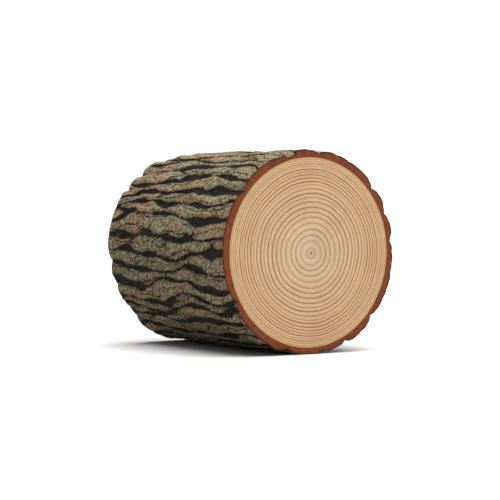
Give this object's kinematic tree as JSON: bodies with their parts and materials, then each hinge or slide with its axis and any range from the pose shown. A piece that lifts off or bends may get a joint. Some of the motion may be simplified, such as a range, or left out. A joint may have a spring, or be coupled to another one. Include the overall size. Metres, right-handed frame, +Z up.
{
  "type": "wood log",
  "caption": "Short round firewood log lying on its side, sawn square at both ends, with deeply furrowed bark and growth rings on the sawn faces.",
  "frame": {"origin": "on the surface that the log lies on, straight under the pith and halfway along the log", "axes": "+Y along the log from its front sawn face to its back one, +X to the right of a person looking at the front face, +Z up"},
  "size_m": [0.302, 0.338, 0.2993],
  "materials": {
    "bark": "rough, deeply furrowed bark",
    "wood": "matt sawn end grain"
  },
  "bodies": {
    "root": {"log": "bark"}
  },
  "joints": []
}
